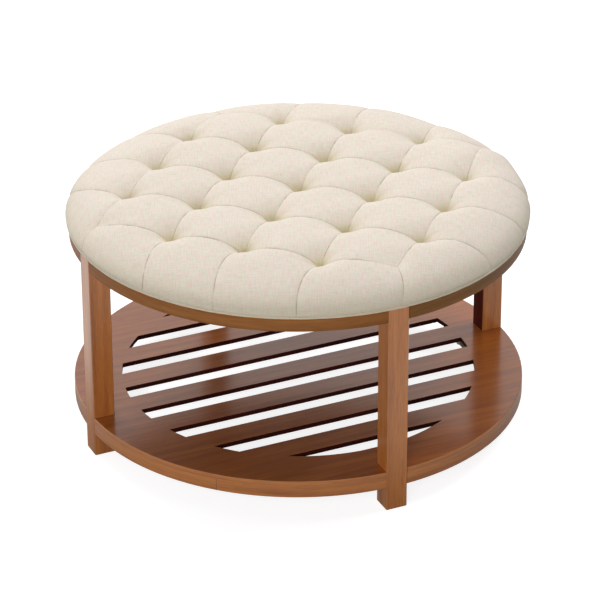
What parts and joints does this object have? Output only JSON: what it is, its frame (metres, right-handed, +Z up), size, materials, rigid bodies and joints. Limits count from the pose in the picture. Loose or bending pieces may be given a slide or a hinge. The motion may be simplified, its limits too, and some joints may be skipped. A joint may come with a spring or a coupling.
{
  "type": "ottoman coffee table",
  "caption": "Round ottoman coffee table: tufted linen cushion on a stained wood ring frame with square legs and a slatted lower shelf.",
  "frame": {"origin": "on the floor, at the middle of the table, below the centre of the cushion", "axes": "+Z up; the four legs stand on the X and Y axes; the shelf's slots run along X"},
  "size_m": [0.8589, 0.859, 0.477],
  "materials": {
    "stained_wood": "satin, walnut-brown stain",
    "plain_wood": "unfinished",
    "seat_plywood": "unfinished plywood",
    "linen": "plain-woven slubbed linen",
    "foam": "open-cell foam",
    "black_nonwoven": "thin matt nonwoven",
    "zinc_steel": "zinc plated"
  },
  "bodies": {
    "root": {"leg_right": "stained_wood", "leg_back": "stained_wood", "leg_left": "stained_wood", "leg_front": "stained_wood", "shelf_rim_segment_1": "stained_wood", "shelf_rim_segment_2": "stained_wood", "shelf_rim_segment_3": "stained_wood", "shelf_rim_segment_4": "stained_wood", "shelf_rim_segment_5": "stained_wood", "shelf_rim_segment_6": "stained_wood", "shelf_rim_segment_7": "stained_wood", "shelf_rim_segment_8": "stained_wood", "seat_ring_segment_1": "stained_wood", "seat_ring_segment_2": "stained_wood", "seat_ring_segment_3": "stained_wood", "seat_ring_segment_4": "stained_wood", "seat_ring_segment_5": "stained_wood", "seat_ring_segment_6": "stained_wood", "seat_ring_segment_7": "stained_wood", "seat_ring_segment_8": "stained_wood", "shelf_panel": "stained_wood", "shelf_block_right": "plain_wood", "shelf_block_back": "plain_wood", "shelf_block_left": "plain_wood", "shelf_block_front": "plain_wood", "seat_block_right": "plain_wood", "seat_block_back": "plain_wood", "seat_block_left": "plain_wood", "seat_block_front": "plain_wood", "seat_rail_upper": "plain_wood", "seat_rail_lower": "plain_wood", "leg_tenons": "plain_wood", "ring_tenons": "plain_wood", "rail_tenons": "plain_wood", "seat_board": "seat_plywood", "tufted_cushion": "linen", "seat_welt": "linen", "foam_slab": "foam", "dust_cover": "black_nonwoven", "leg_bolts": "zinc_steel"}
  },
  "joints": []
}
